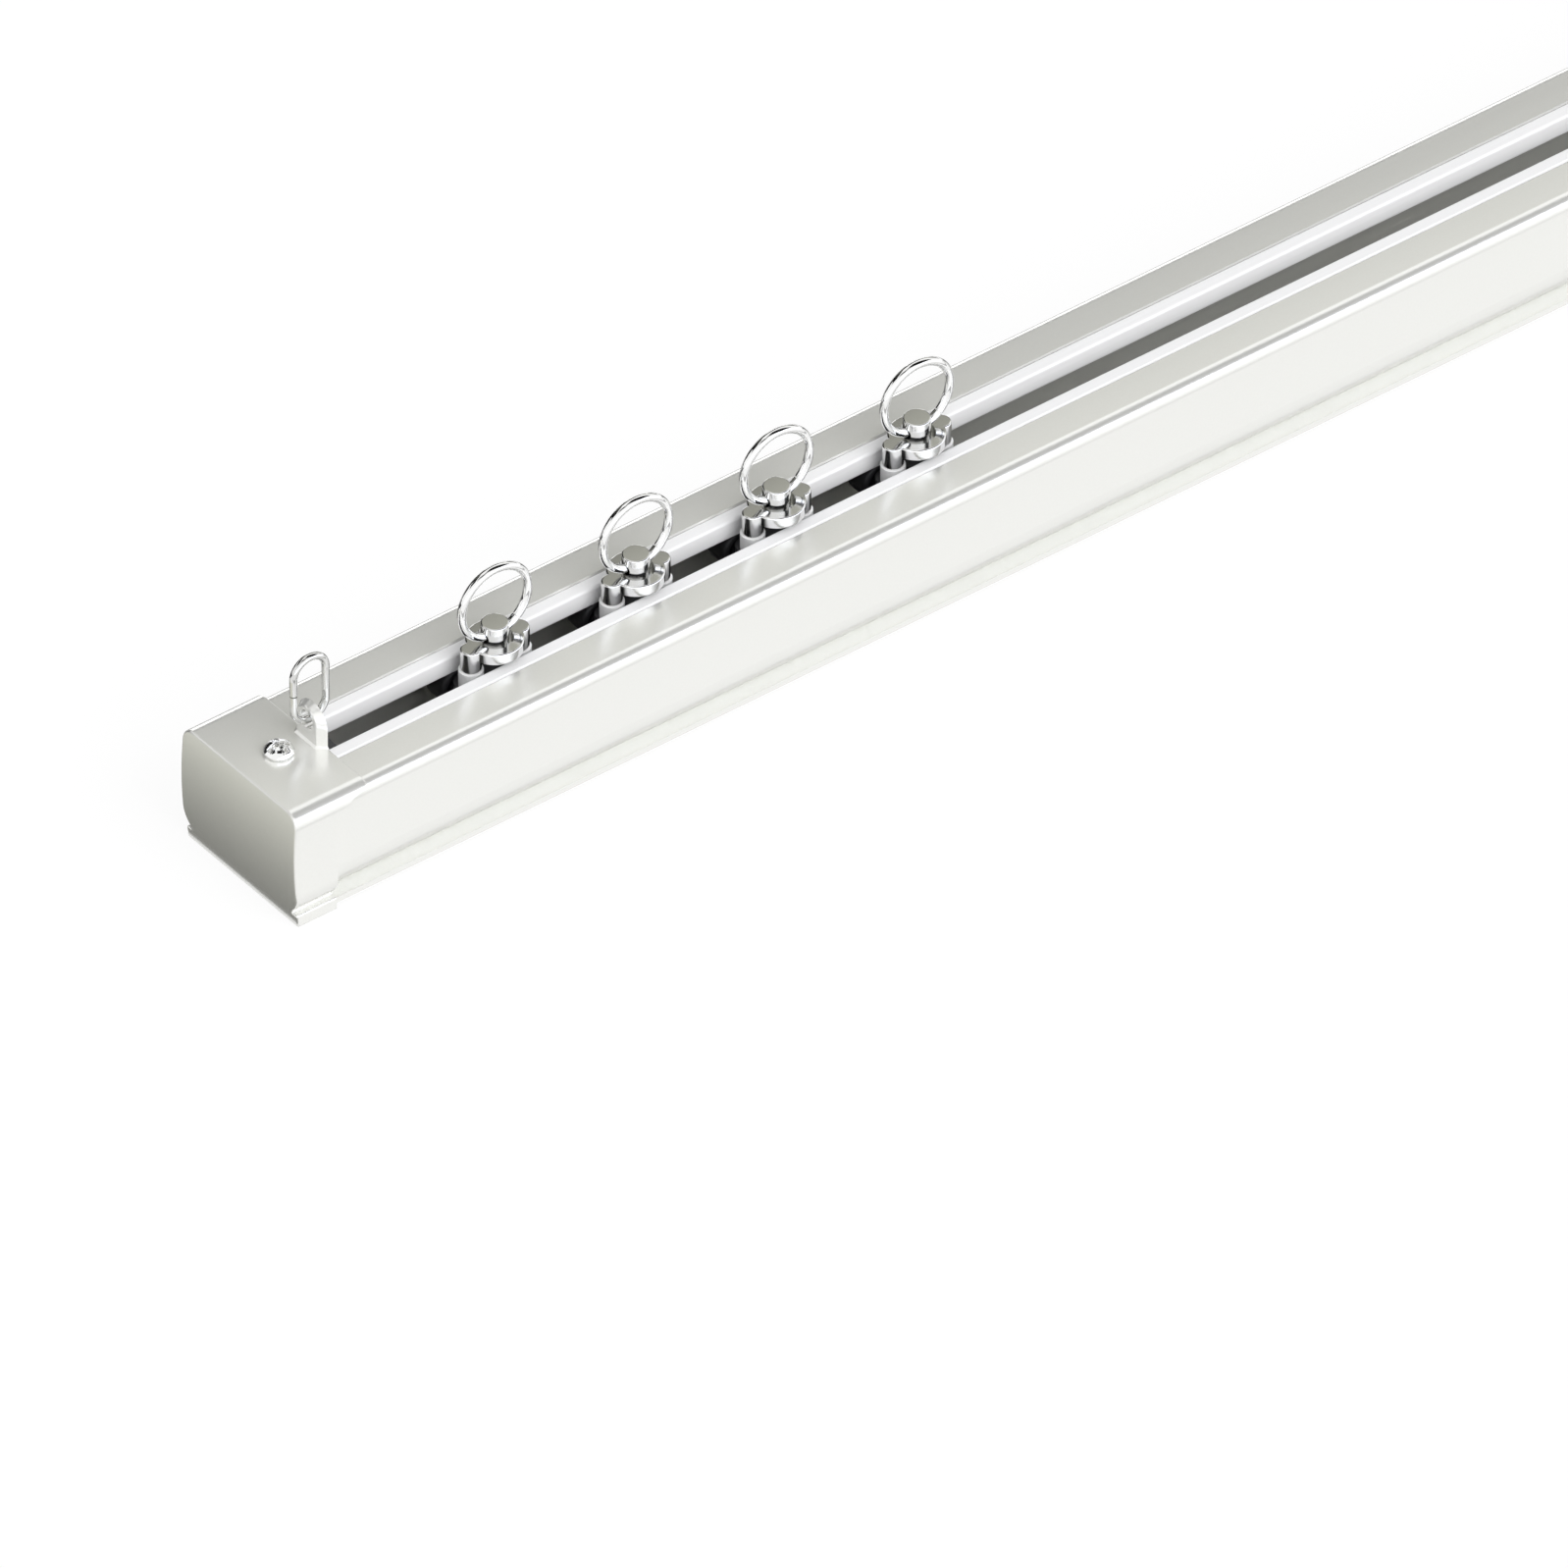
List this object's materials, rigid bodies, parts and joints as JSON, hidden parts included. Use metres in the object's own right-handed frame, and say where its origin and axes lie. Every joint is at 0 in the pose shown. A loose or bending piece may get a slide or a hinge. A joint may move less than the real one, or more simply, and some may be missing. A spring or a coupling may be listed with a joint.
{
  "type": "curtain track",
  "caption": "Slotted aluminium curtain track lying on its back, with wheeled ring gliders and capped ends that carry an eye and a wire link.",
  "frame": {"origin": "midway between the two end caps and the two sides, at the level of the caps' undersides, 1 mm below the track's flat back", "axes": "+X along the track, from the end where the gliders are gathered towards the free end; +Y across the track; +Z out of the slot, so the track lies on its back"},
  "size_m": [0.5052, 0.0318, 0.0428],
  "materials": {
    "track_silver": "satin pearl silver coating on an aluminium extrusion",
    "liner_white": "smooth extruded nylon",
    "cap_silver": "satin pearl silver paint on a zinc casting",
    "chrome": "polished chrome plating",
    "steel": "zinc plated steel",
    "wheel_black": "moulded nylon",
    "nut_black": "moulded glass-filled nylon",
    "carriage_grey": "moulded nylon, dark with pale collars round the pillars"
  },
  "bodies": {
    "track": {"track": "track_silver", "front_liner": "liner_white", "rear_liner": "liner_white", "end_cap_left": "cap_silver", "end_cap_right": "cap_silver", "cap_screw_left": "chrome", "cap_screw_right": "chrome", "clamp_nut_left": "nut_black", "clamp_nut_right": "nut_black"},
    "end_link_left": {"end_link_left": "chrome"},
    "end_link_right": {"end_link_right": "chrome"},
    "glider_1": {"carriage_1": "carriage_grey", "bracket_1": "chrome"},
    "left_wheels_1": {"left_axle_1": "steel", "left_front_wheel_1": "wheel_black", "left_rear_wheel_1": "wheel_black"},
    "right_wheels_1": {"right_axle_1": "steel", "right_front_wheel_1": "wheel_black", "right_rear_wheel_1": "wheel_black"},
    "post_1": {"swivel_post_1": "chrome", "post_washer_1": "steel"},
    "ring_1": {"ring_1": "chrome"},
    "glider_2": {"carriage_2": "carriage_grey", "bracket_2": "chrome"},
    "left_wheels_2": {"left_axle_2": "steel", "left_front_wheel_2": "wheel_black", "left_rear_wheel_2": "wheel_black"},
    "right_wheels_2": {"right_axle_2": "steel", "right_front_wheel_2": "wheel_black", "right_rear_wheel_2": "wheel_black"},
    "post_2": {"swivel_post_2": "chrome", "post_washer_2": "steel"},
    "ring_2": {"ring_2": "chrome"},
    "glider_3": {"carriage_3": "carriage_grey", "bracket_3": "chrome"},
    "left_wheels_3": {"left_axle_3": "steel", "left_front_wheel_3": "wheel_black", "left_rear_wheel_3": "wheel_black"},
    "right_wheels_3": {"right_axle_3": "steel", "right_front_wheel_3": "wheel_black", "right_rear_wheel_3": "wheel_black"},
    "post_3": {"swivel_post_3": "chrome", "post_washer_3": "steel"},
    "ring_3": {"ring_3": "chrome"},
    "glider_4": {"carriage_4": "carriage_grey", "bracket_4": "chrome"},
    "left_wheels_4": {"left_axle_4": "steel", "left_front_wheel_4": "wheel_black", "left_rear_wheel_4": "wheel_black"},
    "right_wheels_4": {"right_axle_4": "steel", "right_front_wheel_4": "wheel_black", "right_rear_wheel_4": "wheel_black"},
    "post_4": {"swivel_post_4": "chrome", "post_washer_4": "steel"},
    "ring_4": {"ring_4": "chrome"}
  },
  "joints": [
    {"name": "end_link_left_swing", "type": "hinge", "parent": "track", "child": "end_link_left", "pos_m": [-0.23715, 0, 0.02875], "axis": [1, 0, 0], "range_deg": [-103, 103]},
    {"name": "end_link_right_swing", "type": "hinge", "parent": "track", "child": "end_link_right", "pos_m": [0.23715, 0, 0.02875], "axis": [1, 0, 0], "range_deg": [-103, 103]},
    {"name": "glider_1_slide", "type": "slide", "parent": "track", "child": "glider_1", "axis": [1, 0, 0], "range_m": [-0.01969, 0.081]},
    {"name": "left_wheels_1_spin", "type": "hinge", "parent": "glider_1", "child": "left_wheels_1", "pos_m": [-0.20195, 0, 0.0156], "axis": [0, 1, 0], "continuous": true},
    {"name": "right_wheels_1_spin", "type": "hinge", "parent": "glider_1", "child": "right_wheels_1", "pos_m": [-0.19355, 0, 0.0156], "axis": [0, 1, 0], "continuous": true},
    {"name": "post_1_swivel", "type": "hinge", "parent": "glider_1", "child": "post_1", "pos_m": [-0.19775, 0, 0.0237], "axis": [0, 0, 1], "continuous": true},
    {"name": "ring_1_swing", "type": "hinge", "parent": "post_1", "child": "ring_1", "pos_m": [-0.19775, 0, 0.0279], "axis": [1, 0, 0], "range_deg": [-88, 88]},
    {"name": "glider_2_slide", "type": "slide", "parent": "glider_1", "child": "glider_2", "axis": [1, 0, 0], "range_m": [-0.0029, 0.081]},
    {"name": "left_wheels_2_spin", "type": "hinge", "parent": "glider_2", "child": "left_wheels_2", "pos_m": [-0.17185, 0, 0.0156], "axis": [0, 1, 0], "continuous": true},
    {"name": "right_wheels_2_spin", "type": "hinge", "parent": "glider_2", "child": "right_wheels_2", "pos_m": [-0.16345, 0, 0.0156], "axis": [0, 1, 0], "continuous": true},
    {"name": "post_2_swivel", "type": "hinge", "parent": "glider_2", "child": "post_2", "pos_m": [-0.16765, 0, 0.0237], "axis": [0, 0, 1], "continuous": true},
    {"name": "ring_2_swing", "type": "hinge", "parent": "post_2", "child": "ring_2", "pos_m": [-0.16765, 0, 0.0279], "axis": [1, 0, 0], "range_deg": [-88, 88]},
    {"name": "glider_3_slide", "type": "slide", "parent": "glider_2", "child": "glider_3", "axis": [1, 0, 0], "range_m": [-0.0029, 0.081]},
    {"name": "left_wheels_3_spin", "type": "hinge", "parent": "glider_3", "child": "left_wheels_3", "pos_m": [-0.14175, 0, 0.0156], "axis": [0, 1, 0], "continuous": true},
    {"name": "right_wheels_3_spin", "type": "hinge", "parent": "glider_3", "child": "right_wheels_3", "pos_m": [-0.13335, 0, 0.0156], "axis": [0, 1, 0], "continuous": true},
    {"name": "post_3_swivel", "type": "hinge", "parent": "glider_3", "child": "post_3", "pos_m": [-0.13755, 0, 0.0237], "axis": [0, 0, 1], "continuous": true},
    {"name": "ring_3_swing", "type": "hinge", "parent": "post_3", "child": "ring_3", "pos_m": [-0.13755, 0, 0.0279], "axis": [1, 0, 0], "range_deg": [-88, 88]},
    {"name": "glider_4_slide", "type": "slide", "parent": "glider_3", "child": "glider_4", "axis": [1, 0, 0], "range_m": [-0.0029, 0.081]},
    {"name": "left_wheels_4_spin", "type": "hinge", "parent": "glider_4", "child": "left_wheels_4", "pos_m": [-0.11165, 0, 0.0156], "axis": [0, 1, 0], "continuous": true},
    {"name": "right_wheels_4_spin", "type": "hinge", "parent": "glider_4", "child": "right_wheels_4", "pos_m": [-0.10325, 0, 0.0156], "axis": [0, 1, 0], "continuous": true},
    {"name": "post_4_swivel", "type": "hinge", "parent": "glider_4", "child": "post_4", "pos_m": [-0.10745, 0, 0.0237], "axis": [0, 0, 1], "continuous": true},
    {"name": "ring_4_swing", "type": "hinge", "parent": "post_4", "child": "ring_4", "pos_m": [-0.10745, 0, 0.0279], "axis": [1, 0, 0], "range_deg": [-88, 88]}
  ]
}
